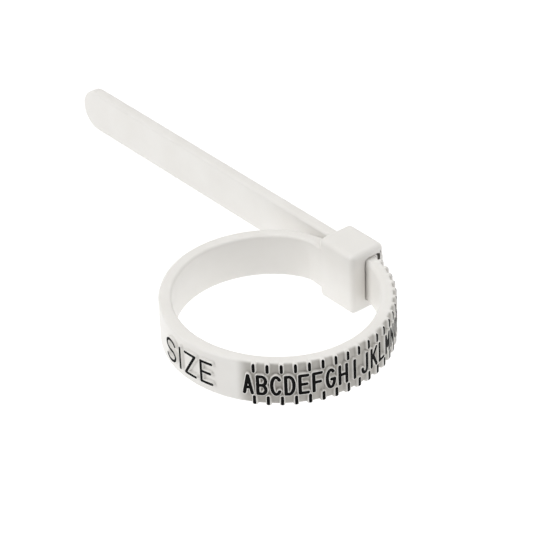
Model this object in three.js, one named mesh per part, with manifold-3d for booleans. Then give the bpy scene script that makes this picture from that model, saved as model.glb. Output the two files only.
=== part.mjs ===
// Adjustable ring sizer: a moulded strap with a buckle at one end, looped through its own buckle.
// Millimetres, +Z up. The origin is the centre of the buckle's flat bottom face. +X runs along the
// buckle's slot towards the free tail, and +Y points from the buckle to the middle of the loop.

import * as THREE from 'three';
import { mergeVertices } from 'three/addons/utils/BufferGeometryUtils.js';
import Module from 'manifold-3d';

const wasm = await Module();
wasm.setup();

// ---- Buckle --------------------------------------------------------------------------------
const BUCKLE_LENGTH = 5.1;
const BUCKLE_DEPTH = 4.3;
const BUCKLE_HEIGHT = 6.9;
const BUCKLE_CORNER = 0.5;
const BUCKLE_BEVEL = 0.4;
const SLOT_INNER_Y = 0.51;
const SLOT_OUTER_Y = -1.75;
const SLOT_HEIGHT = 5.1;
const ROOT_INSET = 0.3;
const ROOT_STUB = 0.15;

// ---- Strap ---------------------------------------------------------------------------------
const STRAP_THICKNESS = 1.33;
const STRAP_WIDTH = 4.75;
const STRAP_BEVEL = 0.25;
const STRAP_BOTTOM = (BUCKLE_HEIGHT - STRAP_WIDTH) / 2;
const LOOP_START_X = 2.25;
const ROOT_Y = BUCKLE_DEPTH / 2 - ROOT_INSET - STRAP_THICKNESS / 2;
const TAIL_Y = -0.69;
const TAIL_START_X = 0.25;
const TAIL_TIP_X = 45.05;

// The loop is five tangent arcs, turning once round in all. The middle three radii are chosen,
// and the first and last follow from where the loop has to start and end.
const ARC_HEADINGS = [0, 40, 120, 220, 300, 360].map(THREE.MathUtils.degToRad);
const ARC_RADII_CHOSEN = { 1: 9.85, 2: 11.6, 3: 10.1 };

// ---- Scale ---------------------------------------------------------------------------------
const SIZE_STEP = 1.225;
const FIRST_TICK_AT = 38.27;
const RELIEF = 0.25;
const LETTER_GAP = 0.02;
const LETTER_WIDTH = 0.92;
const LETTER_HEIGHT = 2.3;
const LETTER_STROKE = 0.24;
const LETTER_BEFORE_TICK = 0.53;
const TICK_WIDTH = 0.26;
const TICK_ROOT = 0.3;
const LOWER_TICK = { from: 0, to: 1.12 };
const UPPER_TICK = { from: 3.65, to: 4.62 };
const SCALE_LETTERS = 'ABCDEFGHIJKLMNOPQRSTUVWXYZ';
const WORD_HEIGHT = 2.6;
const WORD_STROKE = 0.24;
const WORD = [
  { glyph: 'S', at: 28.72, width: 1.9 },
  { glyph: 'I', at: 30.25, width: 0.24 },
  { glyph: 'Z', at: 31.66, width: 1.6 },
  { glyph: 'E', at: 33.6, width: 1.5 },
];

// ---- Flexing joints ------------------------------------------------------------------------
// The strap bends everywhere. Here it bends at hinges, placed by their distance along the strap:
// three equal plain links, one link for the word, and then a hinge after every seventh letter.
const FLEX_GAP = 0.26;
const FLEX_AFTER_TICK = 0.16;
const PLAIN_FLEX_FROM = 2.6;
const PLAIN_FLEX_TO = 27.2;
const PLAIN_LINKS = 3;
const WORD_FLEX = 35.9;
const FIRST_FLEX_LETTER = SCALE_LETTERS.indexOf('F');
const LAST_FLEX_LETTER = SCALE_LETTERS.indexOf('T');
const LETTERS_PER_LINK = 7;

// ---- Finishes ------------------------------------------------------------------------------
const whitePlastic = new THREE.MeshStandardMaterial({ color: 0xebe9e4, roughness: 0.38, metalness: 0 });
const blackInk = new THREE.MeshStandardMaterial({ color: 0x161616, roughness: 0.5, metalness: 0 });

// ---- Solids --------------------------------------------------------------------------------
function toSolid(geometry) {
  const bare = geometry.clone();
  bare.deleteAttribute('normal');
  bare.deleteAttribute('uv');
  const merged = mergeVertices(bare, 1e-5);
  const vertProperties = new Float32Array(merged.attributes.position.array);
  const triVerts = new Uint32Array(merged.index.array);
  return new wasm.Manifold(new wasm.Mesh({ numProp: 3, vertProperties, triVerts }));
}

function toGeometry(solid) {
  const mesh = solid.getMesh();
  const geometry = new THREE.BufferGeometry();
  geometry.setAttribute('position', new THREE.BufferAttribute(mesh.vertProperties, 3));
  geometry.setIndex(new THREE.BufferAttribute(mesh.triVerts, 1));
  geometry.computeVertexNormals();
  return geometry;
}

function named(name, geometry, material) {
  const mesh = new THREE.Mesh(geometry, material);
  mesh.name = name;
  return mesh;
}

function box(low, high) {
  const size = high.map((value, axis) => value - low[axis]);
  const geometry = new THREE.BoxGeometry(...size);
  geometry.translate(...low.map((value, axis) => value + size[axis] / 2));
  return toSolid(geometry);
}

// An outline in plan, raised to a height, with its top and bottom edges bevelled.
function raise(shape, bottom, height, bevel) {
  const geometry = new THREE.ExtrudeGeometry(shape, {
    depth: height - 2 * bevel,
    bevelThickness: bevel,
    bevelSize: bevel,
    bevelOffset: -bevel,
    bevelSegments: 2,
    curveSegments: 4,
  });
  geometry.translate(0, 0, bottom + bevel);
  return toSolid(geometry);
}

// ---- The strap's middle line ---------------------------------------------------------------
// An arc of radius r from heading a to heading b moves on by r * (sin b - sin a, cos a - cos b).
function arcReach(index) {
  const from = ARC_HEADINGS[index];
  const to = ARC_HEADINGS[index + 1];
  return new THREE.Vector2(Math.sin(to) - Math.sin(from), Math.cos(from) - Math.cos(to));
}

function solveArcRadii() {
  const start = new THREE.Vector2(LOOP_START_X, ROOT_Y);
  const left = new THREE.Vector2(TAIL_START_X, TAIL_Y).sub(start);
  for (const [index, radius] of Object.entries(ARC_RADII_CHOSEN)) {
    left.addScaledVector(arcReach(Number(index)), -radius);
  }
  const first = arcReach(0);
  const last = arcReach(4);
  const determinant = first.cross(last);
  return [
    left.cross(last) / determinant,
    ...Object.values(ARC_RADII_CHOSEN),
    first.cross(left) / determinant,
  ];
}

const ARC_RADII = solveArcRadii();
const ARC_LENGTHS = ARC_RADII.map((radius, i) => radius * (ARC_HEADINGS[i + 1] - ARC_HEADINGS[i]));
const LOOP_LENGTH = ARC_LENGTHS.reduce((sum, length) => sum + length, 0);

// Place on the middle line at a distance from the root: the point and the heading there.
function alongStrap(distance) {
  const point = new THREE.Vector2(LOOP_START_X, ROOT_Y);
  let left = distance;
  for (let i = 0; i < ARC_RADII.length; i += 1) {
    const radius = ARC_RADII[i];
    const from = ARC_HEADINGS[i];
    const turned = from + Math.min(left, ARC_LENGTHS[i]) / radius;
    point.x += radius * (Math.sin(turned) - Math.sin(from));
    point.y += radius * (Math.cos(from) - Math.cos(turned));
    if (left <= ARC_LENGTHS[i]) {
      return { point, heading: turned };
    }
    left -= ARC_LENGTHS[i];
  }
  point.x += left;
  return { point, heading: ARC_HEADINGS.at(-1) };
}

// The point at a distance along the strap and a height off its middle line, outwards positive.
function offStrap(distance, outwards) {
  const { point, heading } = alongStrap(distance);
  return new THREE.Vector2(Math.sin(heading), -Math.cos(heading)).multiplyScalar(outwards).add(point);
}

// A length of strap in plan, between two distances from the root.
function strapOutline(from, to, stepLength) {
  const steps = Math.max(1, Math.round((to - from) / stepLength));
  const stations = Array.from({ length: steps + 1 }, (_, i) => from + ((to - from) * i) / steps);
  const outer = stations.map((station) => offStrap(station, STRAP_THICKNESS / 2));
  const inner = stations.map((station) => offStrap(station, -STRAP_THICKNESS / 2));
  return [...outer, ...inner.reverse()];
}

// A rib on the outer face, from a little inside the strap to the top of the relief.
function tick(distance, span) {
  const height = span.to - span.from;
  const geometry = new THREE.BoxGeometry(TICK_WIDTH, height, RELIEF + TICK_ROOT);
  const middle = STRAP_THICKNESS / 2 + (RELIEF - TICK_ROOT) / 2;
  geometry.applyMatrix4(onStrap(distance, middle, STRAP_BOTTOM + span.from + height / 2));
  return toSolid(geometry);
}

// Local x along the strap, y up and z outwards, at a place on the strap.
function onStrap(distance, outwards, height) {
  const { heading } = alongStrap(distance);
  const place = offStrap(distance, outwards);
  const along = new THREE.Vector3(Math.cos(heading), Math.sin(heading), 0);
  const out = new THREE.Vector3(Math.sin(heading), -Math.cos(heading), 0);
  const matrix = new THREE.Matrix4().makeBasis(along, new THREE.Vector3(0, 0, 1), out);
  return matrix.setPosition(place.x, place.y, height);
}

function tickAt(index) {
  return FIRST_TICK_AT + SIZE_STEP * index;
}

function addTicks(solid, from, to) {
  let ticked = solid;
  for (let index = 0; index < SCALE_LETTERS.length; index += 1) {
    const distance = tickAt(index);
    if (distance > from && distance < to) {
      ticked = ticked.add(tick(distance, LOWER_TICK)).add(tick(distance, UPPER_TICK));
    }
  }
  return ticked;
}

// ---- Sub-parts -----------------------------------------------------------------------------
function makeBuckle() {
  const x = BUCKLE_LENGTH / 2 - BUCKLE_CORNER;
  const y = BUCKLE_DEPTH / 2 - BUCKLE_CORNER;
  const outline = new THREE.Shape();
  outline.absarc(x, y, BUCKLE_CORNER, 0, Math.PI / 2);
  outline.absarc(-x, y, BUCKLE_CORNER, Math.PI / 2, Math.PI);
  outline.absarc(-x, -y, BUCKLE_CORNER, Math.PI, Math.PI * 1.5);
  outline.absarc(x, -y, BUCKLE_CORNER, Math.PI * 1.5, Math.PI * 2);
  const block = raise(outline, 0, BUCKLE_HEIGHT, BUCKLE_BEVEL);
  const slotBottom = (BUCKLE_HEIGHT - SLOT_HEIGHT) / 2;
  const slot = box(
    [-BUCKLE_LENGTH, SLOT_OUTER_Y, slotBottom],
    [BUCKLE_LENGTH, SLOT_INNER_Y, slotBottom + SLOT_HEIGHT],
  );
  const stub = box(
    [0, ROOT_Y - STRAP_THICKNESS / 2, STRAP_BOTTOM],
    [BUCKLE_LENGTH / 2 + ROOT_STUB, ROOT_Y + STRAP_THICKNESS / 2, STRAP_BOTTOM + STRAP_WIDTH],
  );
  return named('buckle', toGeometry(block.subtract(slot).add(stub)), whitePlastic);
}

function makeLink(name, from, to) {
  const outline = new THREE.Shape(strapOutline(from + FLEX_GAP / 2, to - FLEX_GAP / 2, 1.3));
  const blank = raise(outline, STRAP_BOTTOM, STRAP_WIDTH, STRAP_BEVEL);
  return named(name, toGeometry(addTicks(blank, from, to)), whitePlastic);
}

// The straight free end, with a half-round tip. It starts on the loop's last arc, at the mouth.
function makeTail(from) {
  const to = LOOP_LENGTH + TAIL_TIP_X - TAIL_START_X;
  const bend = strapOutline(from + FLEX_GAP / 2, LOOP_LENGTH, 1);
  const half = bend.length / 2;
  const end = [offStrap(to, STRAP_THICKNESS / 2), offStrap(to, -STRAP_THICKNESS / 2)];
  const outline = new THREE.Shape([...bend.slice(0, half), ...end, ...bend.slice(half)]);
  const blank = raise(outline, STRAP_BOTTOM, STRAP_WIDTH, STRAP_BEVEL);
  const radius = STRAP_WIDTH / 2;
  const side = new THREE.Shape();
  side.moveTo(-BUCKLE_DEPTH * 2, -radius);
  side.lineTo(TAIL_TIP_X - radius, -radius);
  side.absarc(TAIL_TIP_X - radius, 0, radius, -Math.PI / 2, Math.PI / 2);
  side.lineTo(-BUCKLE_DEPTH * 2, radius);
  const cutter = new THREE.ExtrudeGeometry(side, {
    depth: BUCKLE_DEPTH * 2,
    bevelEnabled: false,
    curveSegments: 12,
  });
  cutter.rotateX(Math.PI / 2);
  cutter.translate(0, BUCKLE_DEPTH, BUCKLE_HEIGHT / 2);
  const tail = addTicks(blank, from, to).intersect(toSolid(cutter));
  return named('tail', toGeometry(tail), whitePlastic);
}

// ---- Characters ----------------------------------------------------------------------------
// Each glyph is drawn with strokes in a box one unit wide and one unit high.
function arc(x, y, radiusX, radiusY, fromDegrees, toDegrees) {
  const steps = Math.ceil(Math.abs(toDegrees - fromDegrees) / 45);
  return Array.from({ length: steps + 1 }, (_, i) => {
    const angle = THREE.MathUtils.degToRad(fromDegrees + ((toDegrees - fromDegrees) * i) / steps);
    return [x + radiusX * Math.cos(angle), y + radiusY * Math.sin(angle)];
  });
}

const upright = [[0, 0], [0, 1]];
const upperBowl = [[0, 1], ...arc(0.6, 0.75, 0.4, 0.25, 90, -90), [0, 0.5]];
const GLYPHS = {
  A: [[[0, 0], [0.5, 1], [1, 0]], [[0.18, 0.32], [0.82, 0.32]]],
  B: [upright, upperBowl, [[0, 0.5], ...arc(0.6, 0.25, 0.4, 0.25, 90, -90), [0, 0]]],
  C: [arc(0.5, 0.5, 0.5, 0.5, 50, 310)],
  D: [upright, [[0, 1], ...arc(0.4, 0.5, 0.6, 0.5, 90, -90), [0, 0]]],
  E: [[[1, 1], [0, 1], [0, 0], [1, 0]], [[0, 0.5], [0.85, 0.5]]],
  F: [[[1, 1], [0, 1], [0, 0]], [[0, 0.5], [0.85, 0.5]]],
  G: [[...arc(0.5, 0.5, 0.5, 0.5, 50, 330), [1, 0.45], [0.6, 0.45]]],
  H: [upright, [[1, 0], [1, 1]], [[0, 0.5], [1, 0.5]]],
  I: [[[0.5, 0], [0.5, 1]]],
  J: [[[0.85, 1], ...arc(0.45, 0.25, 0.4, 0.25, 0, -180)]],
  K: [upright, [[1, 1], [0, 0.4]], [[0.35, 0.6], [1, 0]]],
  L: [[[0, 1], [0, 0], [1, 0]]],
  M: [[[0, 0], [0, 1], [0.5, 0.3], [1, 1], [1, 0]]],
  N: [[[0, 0], [0, 1], [1, 0], [1, 1]]],
  O: [arc(0.5, 0.5, 0.5, 0.5, 0, 360)],
  P: [upright, upperBowl],
  Q: [arc(0.5, 0.5, 0.5, 0.5, 0, 360), [[0.6, 0.28], [1, 0]]],
  R: [upright, upperBowl, [[0.5, 0.5], [1, 0]]],
  S: [[...arc(0.5, 0.75, 0.5, 0.25, 20, 270), ...arc(0.5, 0.25, 0.5, 0.25, 90, -160)]],
  T: [[[0, 1], [1, 1]], [[0.5, 1], [0.5, 0]]],
  U: [[[0, 1], ...arc(0.5, 0.3, 0.5, 0.3, 180, 360), [1, 1]]],
  V: [[[0, 1], [0.5, 0], [1, 1]]],
  W: [[[0, 1], [0.25, 0], [0.5, 0.7], [0.75, 0], [1, 1]]],
  X: [[[0, 0], [1, 1]], [[0, 1], [1, 0]]],
  Y: [[[0, 1], [0.5, 0.5], [1, 1]], [[0.5, 0.5], [0.5, 0]]],
  Z: [[[0, 1], [1, 1], [0, 0], [1, 0]]],
};

// A straight stroke between two points, squared off half a stroke beyond each.
function strokeBar(start, end, stroke) {
  const run = new THREE.Vector2().subVectors(end, start);
  const geometry = new THREE.BoxGeometry(run.length() + stroke, stroke, RELIEF);
  geometry.rotateZ(run.angle());
  geometry.translate((start.x + end.x) / 2, (start.y + end.y) / 2, 0);
  return toSolid(geometry);
}

function makeCharacter(name, glyph, width, height, stroke, distance) {
  const inkWidth = Math.max(width - stroke, 0);
  const place = ([x, y]) => new THREE.Vector2((x - 0.5) * inkWidth, (y - 0.5) * (height - stroke));
  const bars = GLYPHS[glyph].flatMap((points) => (
    points.slice(1).map((point, i) => [place(points[i]), place(point)])
      .filter(([start, end]) => start.distanceTo(end) > 0.01)
      .map(([start, end]) => strokeBar(start, end, stroke))
  ));
  const solid = bars.reduce((joined, bar) => joined.add(bar));
  const mesh = named(name, toGeometry(solid), blackInk);
  const outwards = STRAP_THICKNESS / 2 + LETTER_GAP + RELIEF / 2;
  mesh.applyMatrix4(onStrap(distance, outwards, BUCKLE_HEIGHT / 2));
  return mesh;
}

// ---- Assembly ------------------------------------------------------------------------------
function flexDistances() {
  const plainStep = (PLAIN_FLEX_TO - PLAIN_FLEX_FROM) / PLAIN_LINKS;
  const plain = Array.from({ length: PLAIN_LINKS + 1 }, (_, i) => PLAIN_FLEX_FROM + plainStep * i);
  const scale = [];
  for (let index = FIRST_FLEX_LETTER; index <= LAST_FLEX_LETTER; index += LETTERS_PER_LINK) {
    scale.push(tickAt(index) + FLEX_AFTER_TICK);
  }
  return [...plain, WORD_FLEX, ...scale];
}

const ringSizer = new THREE.Group();
ringSizer.add(makeBuckle());

const flexes = flexDistances();
const stubEnd = BUCKLE_LENGTH / 2 + ROOT_STUB - LOOP_START_X;
const linkStarts = [stubEnd + FLEX_GAP / 2, ...flexes];
for (let i = 0; i < flexes.length; i += 1) {
  const name = `strap_link_${String(i + 1).padStart(2, '0')}`;
  ringSizer.add(makeLink(name, linkStarts[i], linkStarts[i + 1]));
}
ringSizer.add(makeTail(flexes.at(-1)));

for (const { glyph, at, width } of WORD) {
  ringSizer.add(makeCharacter(`word_${glyph}`, glyph, width, WORD_HEIGHT, WORD_STROKE, at));
}
for (const [index, glyph] of [...SCALE_LETTERS].entries()) {
  const distance = tickAt(index) - LETTER_BEFORE_TICK;
  ringSizer.add(
    makeCharacter(`size_${glyph}`, glyph, LETTER_WIDTH, LETTER_HEIGHT, LETTER_STROKE, distance),
  );
}

export default ringSizer;
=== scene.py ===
"""Looks of the adjustable ring sizer: a moulded white strap, its buckle, and the inked scale on it."""

import math

import bpy
import numpy as np
from mathutils import Matrix, Vector


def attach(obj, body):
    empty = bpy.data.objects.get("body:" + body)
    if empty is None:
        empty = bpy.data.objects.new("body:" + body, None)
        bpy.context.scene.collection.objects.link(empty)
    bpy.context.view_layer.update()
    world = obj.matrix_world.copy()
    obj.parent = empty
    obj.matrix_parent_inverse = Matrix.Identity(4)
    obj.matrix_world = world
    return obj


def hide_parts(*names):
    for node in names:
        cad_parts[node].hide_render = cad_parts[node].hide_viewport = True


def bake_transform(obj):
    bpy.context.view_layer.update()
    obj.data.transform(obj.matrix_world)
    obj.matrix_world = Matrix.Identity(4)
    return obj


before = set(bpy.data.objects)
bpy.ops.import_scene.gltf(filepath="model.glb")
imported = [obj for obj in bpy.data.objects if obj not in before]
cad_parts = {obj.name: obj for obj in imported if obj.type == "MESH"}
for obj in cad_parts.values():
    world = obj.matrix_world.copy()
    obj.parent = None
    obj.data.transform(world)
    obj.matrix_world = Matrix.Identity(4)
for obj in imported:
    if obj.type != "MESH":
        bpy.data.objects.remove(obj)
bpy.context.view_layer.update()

MM = 0.001

# ---- Sizes, in millimetres ---------------------------------------------------------------------
BUCKLE_LENGTH = 5.1
BUCKLE_DEPTH = 4.3
BUCKLE_HEIGHT = 6.9
BUCKLE_CORNER = 0.62
BUCKLE_BEVEL = 0.56
LEAST_CORNER = 0.06
SLOT_INNER_Y = 0.35
SLOT_OUTER_Y = -1.72
SLOT_HEIGHT = 4.98
SLOT_CORNER = 0.5
SLOT_RIM = 0.2

THICKNESS = 1.33
WIDTH = 4.75
EDGE = 0.3
STRAP_BOTTOM = (BUCKLE_HEIGHT - WIDTH) / 2
LOOP_START_X = 2.25
ROOT_Y = 1.185
TAIL_Y = -0.69
TAIL_START_X = 0.25
TAIL_TIP_X = 45.05
ARC_HEADINGS = np.radians([0, 40, 120, 220, 300, 360])
FIRST_ARC, LAST_ARC = 0, 4
MIDDLE_RADII = [9.85, 11.6, 10.1]

SIZE_STEP = 1.225
FIRST_TICK_AT = 38.27
LETTERS = "ABCDEFGHIJKLMNOPQRSTUVWXYZ"
LETTER_WIDTH = 1.08
LETTER_HEIGHT = 2.3
LETTER_BEFORE_TICK = 0.53
LETTER_INK = 0.33
WORD_HEIGHT = 2.6
WORD_INK = 0.28
WORD = [("S", 28.72, 1.85), ("I", 30.25, 0.3), ("Z", 31.66, 1.62), ("E", 33.6, 1.52)]
RELIEF = 0.25
HOLLOW = 0.07
FILM = 0.012
BORDER = 0.06
FLANK = 0.08
MARK_REACH = 1.5
TICK_INK = 0.3
LOWER_RIB = (-0.4, 1.0)
LOWER_INK = (0.3, 1.0)
UPPER_RIB = (3.9, 4.6)
UPPER_INK = (3.9, 4.46)

# Where the strap bends, and where it is cut into pieces.
FLEXES = [2.6, 10.8, 19.0, 27.2, 35.9, 44.555, 53.13, 61.705]
CUTS = [-0.6, 6.7, 14.9, 23.1, 30.62, 39.675, 48.25, 56.825, 64.175]

WORD_ZONE = (27.4, 34.8)
SCALE_ZONE = (36.5, 69.8)
ZONE_FADE = 1.2
RIM_FADE = (4.5, 4.85)
ROOT_FLARE = 0.29
ROOT_FLARE_END = 2.2
ROOT_FLARE_LENGTH = 1.9

# ---- Fineness of the meshes ----------------------------------------------------------------------
FINE = 0.04
COARSE = 0.4
INK_CELL = FINE * 0.8
SAME = 1e-6
OUTER_ROWS = 107
INNER_ROWS = 15
EDGE_STEPS = 6
TIP_STEPS = 40
BEVEL_STEPS = 10
CORNER_STEPS = 10
SIDE_STEPS = 8
ARC_STEP = 12
INK_SHARP_ANGLE = math.radians(40)
BUCKLE_SHARP_ANGLE = math.radians(50)

# ---- Colours -------------------------------------------------------------------------------------
PLASTIC_DARKER = (0.785, 0.767, 0.734)
PLASTIC_LIGHTER = (0.815, 0.80, 0.772)
# Painted shade: the grey that the plastic's colour in the hollows between the scale's raised marks is
# multiplied towards, standing in for the shade that falls there.
PAINTED_SHADE_TINT = (0.57, 0.56, 0.54)
INK_THICK = (0.002, 0.002, 0.0022)
INK_THIN = (0.007, 0.0068, 0.0068)
FLOOR_DARKER = (0.21, 0.21, 0.209)
FLOOR_LIGHTER = (0.23, 0.23, 0.229)

# ---- Floor, lights and camera, in metres -----------------------------------------------------------
FLOOR_HALF = 1.5
FLOOR_LEVEL = -0.00002
FLOOR_GLOW = 0.92
AIM = np.array([0.0065, 0.0059, 0.0033])
LIGHTS = [
    # name, offset from the aim, size, watts
    ("key", (0.16, 0.34, 0.25), 0.26, 0.92),
    ("top", (0.02, -0.06, 0.42), 0.35, 0.83),
    ("side", (-0.31, -0.06, 0.25), 0.3, 0.5),
]
WORLD_COLOUR = (1.0, 0.99, 0.975)
WORLD_BRIGHT, WORLD_DARK = 0.47, 0.04
WORLD_FADE = (0.1, 0.8)
CAMERA_AT = np.array([-0.166927, 0.143108, 0.150069])
CAMERA_RIGHT = np.array([-0.63961, -0.76783, -0.03665])
CAMERA_UP = np.array([0.40567, -0.37765, 0.83235])
CAMERA_BACK = -np.array([0.65294, -0.51752, -0.55303])
LENS = 178.744
SENSOR = 36


def smooth(t):
    """A soft step from 0 to 1."""
    t = np.clip(t, 0, 1)
    return t * t * (3 - 2 * t)


# ---- The strap's middle line -------------------------------------------------------------------
def arc_reach(index):
    """How far along x and y an arc of radius 1 goes."""
    a, b = ARC_HEADINGS[index], ARC_HEADINGS[index + 1]
    return np.array([math.sin(b) - math.sin(a), math.cos(a) - math.cos(b)])


def solve_radii():
    """The first and last arcs follow from where the loop starts and ends."""
    left = np.array([TAIL_START_X - LOOP_START_X, TAIL_Y - ROOT_Y])
    for index, radius in enumerate(MIDDLE_RADII, start=1):
        left = left - radius * arc_reach(index)
    reaches = np.column_stack([arc_reach(FIRST_ARC), arc_reach(LAST_ARC)])
    first, last = np.linalg.solve(reaches, left)
    return np.array([first, *MIDDLE_RADII, last])


RADII = solve_radii()
ARC_LENGTHS = RADII * np.diff(ARC_HEADINGS)
ARC_STARTS = np.concatenate([[0], np.cumsum(ARC_LENGTHS)])
LOOP = ARC_STARTS[-1]
TAIL_END = LOOP + TAIL_TIP_X - TAIL_START_X


def along(distance):
    """Point and heading of the middle line at each distance from the root.

    It runs on straight at both ends.
    """
    distance = np.asarray(distance, float)
    x = np.full(distance.shape, LOOP_START_X)
    y = np.full(distance.shape, ROOT_Y)
    heading = np.zeros(distance.shape)
    for i, radius in enumerate(RADII):
        turn = np.clip(distance - ARC_STARTS[i], 0, ARC_LENGTHS[i]) / radius
        start = ARC_HEADINGS[i]
        x = x + radius * (np.sin(start + turn) - math.sin(start))
        y = y + radius * (math.cos(start) - np.cos(start + turn))
        heading = heading + turn
    before, after = np.minimum(distance, 0), np.maximum(distance - LOOP, 0)
    return x + before + after, y, heading


def stretch(distance):
    """Length of the outer face for each unit of middle line."""
    index = int(np.searchsorted(ARC_STARTS, distance)) - 1
    return 1 + THICKNESS / 2 / RADII[index] if 0 <= index < len(RADII) else 1.0


def place(distance, outwards, height):
    """Points, in metres, from distance along the strap, distance off its middle and height on it."""
    x, y, heading = along(distance)
    points = np.stack(
        np.broadcast_arrays(
            x + outwards * np.sin(heading),
            y - outwards * np.cos(heading),
            STRAP_BOTTOM + height,
        ),
        axis=-1,
    )
    return points * MM


def outer_face(height, lift):
    """Offset and height on the outer face, raised by lift.

    Beyond the flat it goes round the rounded edge.
    """
    low, high = EDGE, WIDTH - EDGE
    angle = (np.clip(low - height, 0, None) - np.clip(height - high, 0, None)) / EDGE
    radius = EDGE + lift * np.cos(angle)
    flat = np.clip(height, low, high)
    return THICKNESS / 2 - EDGE + radius * np.cos(angle), flat - radius * np.sin(angle)


# ---- Characters --------------------------------------------------------------------------------
def arc(x, y, radius_x, radius_y, start, end):
    """Points on part of an ellipse, from one angle to another in degrees."""
    steps = max(2, math.ceil(abs(end - start) / ARC_STEP))
    turns = np.radians(np.linspace(start, end, steps + 1))
    return [(x + radius_x * math.cos(t), y + radius_y * math.sin(t)) for t in turns]


UPRIGHT = [(0, 0), (0, 1)]
UPPER_BOWL = [(0, 1), *arc(0.5, 0.75, 0.5, 0.25, 90, -90), (0, 0.5)]
ROUND = arc(0.5, 0.5, 0.5, 0.5, 0, 360)

# The strokes of each character, in a square of side 1.
GLYPHS = {
    "A": [[(0, 0), (0.5, 1), (1, 0)], [(0.18, 0.32), (0.82, 0.32)]],
    "B": [UPRIGHT, UPPER_BOWL, [(0, 0.5), *arc(0.5, 0.25, 0.5, 0.25, 90, -90), (0, 0)]],
    "C": [arc(0.55, 0.5, 0.55, 0.5, 42, 318)],
    "D": [UPRIGHT, [(0, 1), *arc(0.4, 0.5, 0.6, 0.5, 90, -90), (0, 0)]],
    "E": [[(1, 1), (0, 1), (0, 0), (1, 0)], [(0, 0.5), (0.85, 0.5)]],
    "F": [[(1, 1), (0, 1), (0, 0)], [(0, 0.5), (0.85, 0.5)]],
    "G": [[*arc(0.5, 0.5, 0.5, 0.5, 50, 330), (1, 0.45), (0.6, 0.45)]],
    "H": [UPRIGHT, [(1, 0), (1, 1)], [(0, 0.5), (1, 0.5)]],
    "I": [[(0.5, 0), (0.5, 1)]],
    "J": [[(0.85, 1), *arc(0.45, 0.25, 0.4, 0.25, 0, -180)]],
    "K": [UPRIGHT, [(1, 1), (0, 0.4)], [(0.35, 0.6), (1, 0)]],
    "L": [[(0, 1), (0, 0), (1, 0)]],
    "M": [[(0, 0), (0, 1), (0.5, 0.3), (1, 1), (1, 0)]],
    "N": [[(0, 0), (0, 1), (1, 0), (1, 1)]],
    "O": [ROUND],
    "P": [UPRIGHT, UPPER_BOWL],
    "Q": [ROUND, [(0.6, 0.28), (1, 0)]],
    "R": [UPRIGHT, UPPER_BOWL, [(0.5, 0.5), (1, 0)]],
    "S": [[*arc(0.5, 0.75, 0.5, 0.25, 20, 270), *arc(0.5, 0.25, 0.5, 0.25, 90, -160)]],
    "T": [[(0, 1), (1, 1)], [(0.5, 1), (0.5, 0)]],
    "U": [[(0, 1), *arc(0.5, 0.3, 0.5, 0.3, 180, 360), (1, 1)]],
    "V": [[(0, 1), (0.5, 0), (1, 1)]],
    "W": [[(0, 1), (0.25, 0), (0.5, 0.7), (0.75, 0), (1, 1)]],
    "X": [[(0, 0), (1, 1)], [(0, 1), (1, 0)]],
    "Y": [[(0, 1), (0.5, 0.5), (1, 1)], [(0.5, 0.5), (0.5, 0)]],
    "Z": [[(0, 1), (1, 1), (0, 0), (1, 0)]],
}


def character(node, glyph, at, width, height, ink):
    """A raised, inked character. Its strokes are short segments, in millimetres round its middle."""
    segments = []
    for line in GLYPHS[glyph]:
        points = [
            ((x - 0.5) * (width - ink), WIDTH / 2 + (y - 0.5) * (height - ink))
            for x, y in line
        ]
        segments += list(zip(points, points[1:]))
    return {"node": node, "at": at, "ribs": segments, "inked": segments, "ink": ink}


def tick(at):
    """The two raised ribs of a tick, below and above its letter. Each is inked on part of its length."""
    ribs = [((0, low), (0, high)) for low, high in (LOWER_RIB, UPPER_RIB)]
    inked = [((0, low), (0, high)) for low, high in (LOWER_INK, UPPER_INK)]
    return {"node": None, "at": at, "ribs": ribs, "inked": inked, "ink": TICK_INK}


def all_marks():
    marks = []
    for glyph, at, width in WORD:
        marks.append(character(f"word_{glyph}", glyph, at, width, WORD_HEIGHT, WORD_INK))
    for index, letter in enumerate(LETTERS):
        at = FIRST_TICK_AT + SIZE_STEP * index
        before = at - LETTER_BEFORE_TICK
        name = f"size_{letter}"
        marks.append(character(name, letter, before, LETTER_WIDTH, LETTER_HEIGHT, LETTER_INK))
        marks.append(tick(at))
    return marks


MARKS = all_marks()


def distance_to(segments, u, v):
    """Distance from each point to the nearest segment."""
    nearest = np.full(np.broadcast(u, v).shape, 1e9)
    for (ax, ay), (bx, by) in segments:
        run_x, run_y = bx - ax, by - ay
        length = max(run_x * run_x + run_y * run_y, 1e-12)
        t = np.clip(((u - ax) * run_x + (v - ay) * run_y) / length, 0, 1)
        nearest = np.minimum(nearest, np.hypot(u - ax - t * run_x, v - ay - t * run_y))
    return nearest


def relief(distance, height):
    """How far the outer face is raised, and how deep in the scale's hollows it is from 0 to 1; the same 0
    to 1 also sets the shade painted into those hollows.

    The rows of the results are the distances and the columns are the heights.
    """
    raised = np.zeros((len(distance), len(height)))
    for mark in MARKS:
        factor = stretch(mark["at"])
        near = np.abs(distance - mark["at"]) * factor < MARK_REACH
        if not near.any():
            continue
        u = (distance[near, None] - mark["at"]) * factor
        beyond = distance_to(mark["ribs"], u, height[None, :]) - mark["ink"] / 2 - BORDER
        raised[near] = np.maximum(raised[near], smooth(1 - beyond / FLANK))
    start, end = SCALE_ZONE
    zone = smooth((distance - start) / ZONE_FADE) * smooth((end - distance) / ZONE_FADE)
    low, high = RIM_FADE
    below_rim = 1 - smooth((height - low) / (high - low))
    # The hollow both sinks the face for real and sets where shade is painted into the plastic's colour.
    hollow = (1 - raised) * zone[:, None] * below_rim[None, :]
    return RELIEF * raised - HOLLOW * hollow, hollow


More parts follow.
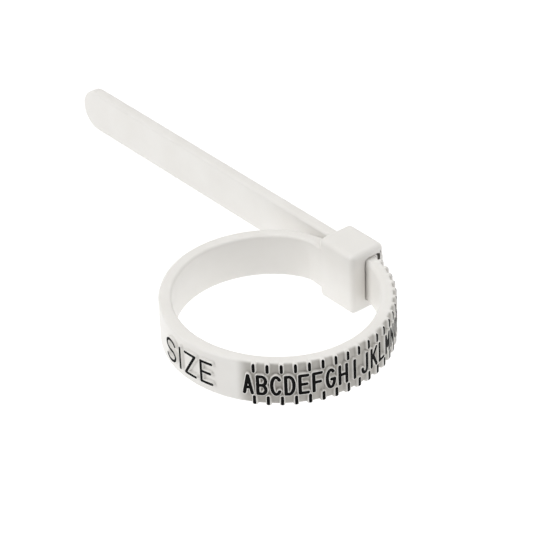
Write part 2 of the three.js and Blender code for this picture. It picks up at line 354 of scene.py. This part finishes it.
# ---- Meshes ------------------------------------------------------------------------------------
def new_object(name, points, faces, material, sharp_faces=(), painted_shade=None):
    """A smooth-shaded mesh object. The edges of the sharp faces stay sharp."""
    mesh = bpy.data.meshes.new(name)
    mesh.from_pydata([tuple(p) for p in points], [], faces)
    mesh.polygons.foreach_set("use_smooth", [True] * len(mesh.polygons))
    if len(sharp_faces):
        rim = set()
        for index in sharp_faces:
            rim.update(mesh.polygons[index].edge_keys)
        sharp = mesh.attributes.new("sharp_edge", "BOOLEAN", "EDGE")
        sharp.data.foreach_set("value", [edge.key in rim for edge in mesh.edges])
    # Painted shade: a per-point attribute that the plastic reads to darken its colour in the hollows.
    if painted_shade is not None:
        values = np.zeros(len(points))
        values[: painted_shade.size] = painted_shade.ravel()
        mesh.attributes.new("painted_shade", "FLOAT", "POINT").data.foreach_set("value", values)
    mesh.materials.append(material)
    made = bpy.data.objects.new(name, mesh)
    bpy.context.scene.collection.objects.link(made)
    return made


# Heights on the outer face, measured along its surface, so that they run on round both rounded edges.
QUARTER = EDGE * math.pi / 2
outer_heights = np.concatenate([
    np.linspace(EDGE - QUARTER, EDGE, EDGE_STEPS + 1)[:-1],
    np.linspace(EDGE, WIDTH - EDGE, OUTER_ROWS),
    np.linspace(WIDTH - EDGE, WIDTH - EDGE + QUARTER, EDGE_STEPS + 1)[1:],
])


def inner_profile():
    """Offsets and heights of the rest of the section: top edge, inner face and bottom edge."""
    turns = np.linspace(0, math.pi / 2, EDGE_STEPS + 1)
    top_out = -THICKNESS / 2 + EDGE - EDGE * np.sin(turns)
    top_height = WIDTH - EDGE + EDGE * np.cos(turns)
    flat = np.linspace(WIDTH - EDGE, EDGE, INNER_ROWS)[1:-1]
    outs = np.concatenate([top_out, np.full(len(flat), -THICKNESS / 2), top_out[::-1]])
    heights = np.concatenate([top_height, flat, WIDTH - top_height[::-1]])
    return outs, heights


inner_outs, inner_heights = inner_profile()


def section(distances):
    """Rings of the strap's section at each distance, by station, ring and axis, and the painted shade on
    them.
    """
    distances = np.asarray(distances, float)
    lift, hollow = relief(distances, outer_heights)
    out, height = outer_face(outer_heights[None, :], lift)
    inner = (len(distances), len(inner_outs))
    flare = ROOT_FLARE * smooth((ROOT_FLARE_END - distances) / ROOT_FLARE_LENGTH)
    out = np.concatenate([out, inner_outs[None, :] - flare[:, None]], axis=1)
    height = np.concatenate([height, np.broadcast_to(inner_heights, inner)], axis=1)
    # Shade is painted only into the hollows of the outer face; the rest of the section gets none.
    painted_shade = np.concatenate([hollow, np.zeros(inner)], axis=1)
    return place(distances[:, None], out, height), painted_shade


def stations(start, end):
    """Distances to cut sections at: close together across the relief, and at both ends."""
    cuts = {start, end, start + FINE, end - FINE}
    for zone_start, zone_end in (WORD_ZONE, SCALE_ZONE):
        low, high = max(zone_start, start), min(zone_end, end)
        if low < high:
            cuts.update(np.linspace(low, high, max(2, round((high - low) / FINE) + 1)))
    ordered = sorted(cuts)
    filled = [ordered[0]]
    for distance in ordered[1:]:
        if distance - filled[-1] < SAME:
            continue
        steps = max(1, math.ceil((distance - filled[-1]) / COARSE))
        filled += list(np.linspace(filled[-1], distance, steps + 1)[1:])
    return filled


def ring_faces(rows, columns):
    """Quads between rings of points, each ring closed on itself."""
    faces = []
    for i in range(rows - 1):
        here, after = i * columns, (i + 1) * columns
        for j in range(columns):
            k = (j + 1) % columns
            faces.append((here + j, after + j, after + k, here + k))
    return faces


def band(name, start, end, material):
    """A closed piece of the strap between two distances."""
    rings, painted_shade = section(stations(start, end))
    rows, columns = rings.shape[:2]
    faces = ring_faces(rows, columns)
    faces.append(tuple(range(columns)))
    faces.append(tuple((rows - 1) * columns + j for j in reversed(range(columns))))
    caps = [len(faces) - 2, len(faces) - 1]
    return new_object(name, rings.reshape(-1, 3), faces, material, caps, painted_shade)


def free_tail(name, start, material):
    """The straight end. Its half-round tip is the upper half of the section turned through 180 degrees."""
    radius = WIDTH / 2
    centre = TAIL_END - radius
    rings, painted_shade = section(stations(start, centre))
    rows, columns = rings.shape[:2]
    faces = ring_faces(rows, columns)
    cap = len(faces)
    faces.append(tuple(range(columns)))
    points = [tuple(p) for p in rings.reshape(-1, 3)]

    outer_middle = len(outer_heights) // 2
    inner_middle = len(outer_heights) + len(inner_outs) // 2
    upper = list(range(outer_middle, inner_middle + 1))
    lower = [outer_middle] + [(outer_middle - step) % columns for step in range(1, len(upper))]
    last = (rows - 1) * columns
    pivot = rings[-1][outer_middle].copy()
    previous = [last + j for j in upper]
    for turn in range(1, TIP_STEPS + 1):
        angle = math.pi * turn / TIP_STEPS
        if turn == TIP_STEPS:
            current = [last + j for j in lower]
        else:
            current = [last + upper[0]]
            for j in upper[1:-1]:
                reach = rings[-1][j][2] - pivot[2]
                current.append(len(points))
                points.append((
                    pivot[0] + reach * math.sin(angle),
                    rings[-1][j][1],
                    pivot[2] + reach * math.cos(angle),
                ))
            current.append(last + upper[-1])
        for a, b, c, d in zip(previous, previous[1:], current[1:], current):
            corners = []
            for corner in (a, d, c, b):
                if corner not in corners:
                    corners.append(corner)
            if len(corners) > 2:
                faces.append(tuple(corners))
        previous = current
    return new_object(name, points, faces, material, [cap], painted_shade)


def inked_area(mark):
    """The inked part of a mark as a thin closed shell on its relief, cut to a smooth outline."""
    radius = mark["ink"] / 2
    ends = np.array([p for segment in mark["inked"] for p in segment])
    low, high = ends.min(axis=0) - radius - FINE, ends.max(axis=0) + radius + FINE
    u = np.arange(low[0], high[0] + INK_CELL, INK_CELL)
    v = np.arange(low[1], high[1] + INK_CELL, INK_CELL)
    depth = radius - distance_to(mark["inked"], u[:, None], v[None, :])
    flat_points, index_of, triangles = [], {}, []

    def corner(i, j):
        """Index of the point at a corner of the grid."""
        key = (i, j)
        if key not in index_of:
            index_of[key] = len(flat_points)
            flat_points.append((u[i], v[j]))
        return index_of[key]

    def crossing(p, q):
        """Index of the point where the outline crosses the line between two corners."""
        key = (min(p, q), max(p, q))
        if key not in index_of:
            a, b = depth[key[0]], depth[key[1]]
            t = min(max(a / (a - b), 0.02), 0.98)
            (ai, aj), (bi, bj) = key
            index_of[key] = len(flat_points)
            flat_points.append((u[ai] + t * (u[bi] - u[ai]), v[aj] + t * (v[bj] - v[aj])))
        return index_of[key]

    rims = []
    inside = depth > 0
    for i in range(len(u) - 1):
        for j in range(len(v) - 1):
            if not inside[i : i + 2, j : j + 2].any():
                continue
            near, far = (i, j), (i + 1, j + 1)
            for cell in ((near, (i + 1, j), far), (near, far, (i, j + 1))):
                shape, cuts = [], []
                for p, q in zip(cell, cell[1:] + cell[:1]):
                    if inside[p]:
                        shape.append(corner(*p))
                    if inside[p] != inside[q]:
                        cuts.append((crossing(p, q), inside[p]))
                        shape.append(cuts[-1][0])
                if len(shape) > 2:
                    triangles.append(tuple(shape))
                if len(cuts) == 2:
                    leaving = cuts[0][0] if cuts[0][1] else cuts[1][0]
                    entering = cuts[1][0] if cuts[0][1] else cuts[0][0]
                    rims.append((leaving, entering))
    flat = np.array(flat_points)
    count = len(flat)
    faces = list(triangles)
    faces += [tuple(count + k for k in reversed(shape)) for shape in triangles]
    faces += [(b, a, count + a, count + b) for a, b in rims]
    layers = []
    for lift in (RELIEF + FILM, RELIEF - FILM):
        out, height = outer_face(flat[:, 1], lift)
        layers.append(place(mark["at"] + flat[:, 0] / stretch(mark["at"]), out, height))
    return np.concatenate(layers), faces


def inking(name, start, end, material):
    """All the ink between two distances, as one piece, and the CAD characters that it stands for."""
    points, faces, nodes = [], [], []
    for mark in MARKS:
        if not start < mark["at"] < end:
            continue
        area_points, area_faces = inked_area(mark)
        offset = sum(len(p) for p in points)
        points.append(area_points)
        faces += [tuple(offset + k for k in face) for face in area_faces]
        if mark["node"]:
            nodes.append(mark["node"])
    if not points:
        return None, nodes
    made = new_object(name, np.concatenate(points), faces, material)
    made.data.set_sharp_from_angle(angle=INK_SHARP_ANGLE)
    return made, nodes


def rounded_rectangle(half_y, half_z, radius, middle_y, middle_z):
    """A closed outline, always with the same number of points."""
    points = []
    corners = [(1, 1, 0), (-1, 1, 90), (-1, -1, 180), (1, -1, 270)]
    for index, (side_y, side_z, start) in enumerate(corners):
        centre_y, centre_z = side_y * (half_y - radius), side_z * (half_z - radius)
        for turn in np.radians(np.linspace(start, start + 90, CORNER_STEPS + 1)):
            points.append((centre_y + radius * math.cos(turn), centre_z + radius * math.sin(turn)))
        after_y, after_z, after = corners[(index + 1) % 4]
        turn = math.radians(start + 90)
        end_y, end_z = after_y * (half_y - radius), after_z * (half_z - radius)
        end = (end_y + radius * math.cos(turn), end_z + radius * math.sin(turn))
        begin = points[-1]
        for step in range(1, SIDE_STEPS):
            t = step / SIDE_STEPS
            points.append((begin[0] + t * (end[0] - begin[0]), begin[1] + t * (end[1] - begin[1])))
    return np.array(points) + np.array([middle_y, middle_z])


def buckle(name, material):
    """A block with rounded edges and a rounded slot right through it.

    The wall outside the slot is thinner than the bevel and the rim together, so the end faces fold there.
    """
    half_length = BUCKLE_LENGTH / 2
    middle_z = BUCKLE_HEIGHT / 2
    slot_y = (SLOT_INNER_Y + SLOT_OUTER_Y) / 2
    slot_half = (SLOT_INNER_Y - SLOT_OUTER_Y) / 2

    def outside(inset):
        corner = max(BUCKLE_CORNER - inset, LEAST_CORNER)
        return rounded_rectangle(BUCKLE_DEPTH / 2 - inset, middle_z - inset, corner, 0, middle_z)

    def inside(flare):
        return rounded_rectangle(
            slot_half + flare, SLOT_HEIGHT / 2 + flare, SLOT_CORNER + flare, slot_y, middle_z
        )

    bevels, rims = [], []
    for t in np.linspace(0, math.pi / 2, BEVEL_STEPS):
        along_x, across = 1 - math.cos(t), 1 - math.sin(t)
        bevels.append((-half_length + BUCKLE_BEVEL * along_x, outside(BUCKLE_BEVEL * across)))
        rims.append((half_length - SLOT_RIM * along_x, inside(SLOT_RIM * across)))
    loops = bevels + [(-x, loop) for x, loop in reversed(bevels)]
    loops += rims + [(-x, loop) for x, loop in reversed(rims)]
    columns = len(loops[0][1])
    points = [(x * MM, y * MM, z * MM) for x, loop in loops for y, z in loop]
    faces = []
    for i in range(len(loops)):
        here, after = i * columns, (i + 1) % len(loops) * columns
        for j in range(columns):
            k = (j + 1) % columns
            faces.append((here + j, here + k, after + k, after + j))
    made = new_object(name, points, faces, material)
    made.data.set_sharp_from_angle(angle=BUCKLE_SHARP_ANGLE)
    return made


# ---- Materials ---------------------------------------------------------------------------------
def new_material(name):
    material = bpy.data.materials.new(name)
    material.use_nodes = True
    nodes = material.node_tree.nodes
    return material, nodes, material.node_tree.links, nodes["Principled BSDF"]


def noise(nodes, links, coordinates, scale, detail, roughness=0.5):
    texture = nodes.new("ShaderNodeTexNoise")
    texture.inputs["Scale"].default_value = scale
    texture.inputs["Detail"].default_value = detail
    texture.inputs["Roughness"].default_value = roughness
    links.new(coordinates, texture.inputs["Vector"])
    return texture.outputs["Fac"]


def ramp(nodes, links, source, stops):
    """A colour that goes from the first stop to the second. A stop is a value and a colour."""
    made = nodes.new("ShaderNodeValToRGB")
    for element, (position, colour) in zip(made.color_ramp.elements, stops):
        element.position = position
        element.color = (*colour, 1)
    links.new(source, made.inputs["Fac"])
    return made.outputs["Color"]


def spread(nodes, links, source, low, high):
    made = nodes.new("ShaderNodeMapRange")
    made.inputs["To Min"].default_value = low
    made.inputs["To Max"].default_value = high
    links.new(source, made.inputs["Value"])
    return made.outputs["Result"]


def bump(nodes, links, source, strength, depth, normal=None):
    made = nodes.new("ShaderNodeBump")
    made.inputs["Strength"].default_value = strength
    made.inputs["Distance"].default_value = depth
    links.new(source, made.inputs["Height"])
    if normal:
        links.new(normal, made.inputs["Normal"])
    return made.outputs["Normal"]


def white_plastic():
    """Moulded plastic: a warm white, faintly cloudy, with a satin skin and a shallow moulding ripple.

    Shade is painted into the hollows between the raised characters: their colour is multiplied towards
    grey, made patchy by the ripple.
    """
    material, nodes, links, shader = new_material("white_plastic")
    coordinates = nodes.new("ShaderNodeTexCoord").outputs["Object"]
    cloud = noise(nodes, links, coordinates, 260, 3)
    grain = noise(nodes, links, coordinates, 5200, 4, 0.6)
    ripple = noise(nodes, links, coordinates, 620, 2)
    colour = ramp(nodes, links, cloud, [(0.3, PLASTIC_DARKER), (0.7, PLASTIC_LIGHTER)])
    # Painted shade: the hollows' attribute, made patchy by the ripple, multiplies the base colour towards
    # grey.
    painted_shade = nodes.new("ShaderNodeAttribute")
    painted_shade.attribute_name = "painted_shade"
    patchy_shade = nodes.new("ShaderNodeMath")
    patchy_shade.operation = "MULTIPLY"
    links.new(painted_shade.outputs["Fac"], patchy_shade.inputs[0])
    links.new(spread(nodes, links, ripple, 0.8, 1.1), patchy_shade.inputs[1])
    painted_shade_mix = nodes.new("ShaderNodeMix")
    painted_shade_mix.data_type = "RGBA"
    painted_shade_mix.blend_type = "MULTIPLY"
    links.new(patchy_shade.outputs["Value"], painted_shade_mix.inputs["Factor"])
    links.new(colour, painted_shade_mix.inputs["A"])
    painted_shade_mix.inputs["B"].default_value = (*PAINTED_SHADE_TINT, 1)
    links.new(painted_shade_mix.outputs["Result"], shader.inputs["Base Color"])
    links.new(spread(nodes, links, grain, 0.30, 0.46), shader.inputs["Roughness"])
    shader.inputs["IOR"].default_value = 1.49
    normal = bump(nodes, links, ripple, 0.35, 0.00006)
    normal = bump(nodes, links, grain, 0.25, 0.000012, normal)
    links.new(normal, shader.inputs["Normal"])
    return material


def black_ink():
    """Ink rolled onto the relief: nearly black, thinner in patches, and a little rough."""
    material, nodes, links, shader = new_material("black_ink")
    coordinates = nodes.new("ShaderNodeTexCoord").outputs["Object"]
    patches = noise(nodes, links, coordinates, 2600, 4, 0.65)
    grain = noise(nodes, links, coordinates, 9000, 3)
    colour = ramp(nodes, links, patches, [(0.35, INK_THICK), (0.75, INK_THIN)])
    links.new(colour, shader.inputs["Base Color"])
    links.new(spread(nodes, links, patches, 0.5, 0.72), shader.inputs["Roughness"])
    shader.inputs["Specular IOR Level"].default_value = 0.06
    links.new(bump(nodes, links, grain, 0.3, 0.00001), shader.inputs["Normal"])
    return material


plastic = white_plastic()
ink = black_ink()

# ---- Pieces ------------------------------------------------------------------------------------
body = buckle("buckle_block", plastic)
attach(body, "buckle")
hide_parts("buckle")


for number in range(1, len(FLEXES) + 1):
    lower_body = f"strap_link_{number:02d}"
    start, end = CUTS[number - 1], CUTS[number]
    piece = band(f"strap_{number:02d}", start, end, plastic)
    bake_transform(piece)
    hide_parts(lower_body)
    inked, stood_for = inking(f"ink_{number:02d}", start, end, ink)
    if inked:
        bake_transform(inked)
        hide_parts(*stood_for)

tail_piece = free_tail("strap_tail", CUTS[-1], plastic)
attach(tail_piece, "tail")
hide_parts("tail")
tail_ink, stood_for = inking("ink_tail", CUTS[-1], TAIL_END, ink)
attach(tail_ink, "tail")
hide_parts(*stood_for)


# ---- Floor, light and camera -------------------------------------------------------------------
def make_floor():
    """A plain white sheet, evenly lit, far wider than the view."""
    corners = [(-1, -1), (1, -1), (1, 1), (-1, 1)]
    points = [(x * FLOOR_HALF, y * FLOOR_HALF, FLOOR_LEVEL) for x, y in corners]
    material, nodes, links, shader = new_material("white_sheet")
    coordinates = nodes.new("ShaderNodeTexCoord").outputs["Object"]
    cloud = noise(nodes, links, coordinates, 14, 2)
    colour = ramp(nodes, links, cloud, [(0.3, FLOOR_DARKER), (0.7, FLOOR_LIGHTER)])
    links.new(colour, shader.inputs["Base Color"])
    shader.inputs["Roughness"].default_value = 0.9
    shader.inputs["Specular IOR Level"].default_value = 0.1
    shader.inputs["Emission Color"].default_value = (1, 1, 1, 1)
    shader.inputs["Emission Strength"].default_value = FLOOR_GLOW
    floor = new_object("floor", points, [(0, 1, 2, 3)], material)


def area_light(name, offset, size, power):
    """A square soft white light at an offset from the aim, turned to the aim."""
    light = bpy.data.lights.new(name, "AREA")
    light.shape = "SQUARE"
    light.size = size
    light.energy = power
    lamp = bpy.data.objects.new(name, light)
    bpy.context.scene.collection.objects.link(lamp)
    place_at = Vector(AIM + offset)
    lamp.location = place_at
    lamp.rotation_mode = "QUATERNION"
    lamp.rotation_quaternion = (Vector(AIM) - place_at).to_track_quat("-Z", "Y")


make_floor()
for light in LIGHTS:
    area_light(*light)


def make_world():
    """Soft white all round, except for one dark side of the room, which stays where it is."""
    world = bpy.data.worlds.new("studio")
    world.use_nodes = True
    nodes, links = world.node_tree.nodes, world.node_tree.links
    direction = nodes.new("ShaderNodeTexCoord").outputs["Generated"]
    towards = nodes.new("ShaderNodeVectorMath")
    towards.operation = "DOT_PRODUCT"
    towards.inputs[1].default_value = CAMERA_BACK
    links.new(direction, towards.inputs[0])
    strength = nodes.new("ShaderNodeMapRange")
    strength.inputs["From Min"].default_value = WORLD_FADE[0]
    strength.inputs["From Max"].default_value = WORLD_FADE[1]
    strength.inputs["To Min"].default_value = WORLD_BRIGHT
    strength.inputs["To Max"].default_value = WORLD_DARK
    links.new(towards.outputs["Value"], strength.inputs["Value"])
    background = nodes["Background"]
    background.inputs["Color"].default_value = (*WORLD_COLOUR, 1)
    links.new(strength.outputs["Result"], background.inputs["Strength"])
    bpy.context.scene.world = world


make_world()
bpy.context.scene.view_settings.view_transform = "Standard"

camera_data = bpy.data.cameras.new("camera")
camera_data.sensor_width = SENSOR
camera_data.lens = LENS
camera_data.clip_start = 0.01
camera_data.clip_end = 10
camera = bpy.data.objects.new("camera", camera_data)
bpy.context.scene.collection.objects.link(camera)
turn = np.column_stack([CAMERA_RIGHT, CAMERA_UP, CAMERA_BACK])
camera.matrix_world = Matrix.Translation(CAMERA_AT) @ Matrix(turn.tolist()).to_4x4()
bpy.context.scene.camera = camera
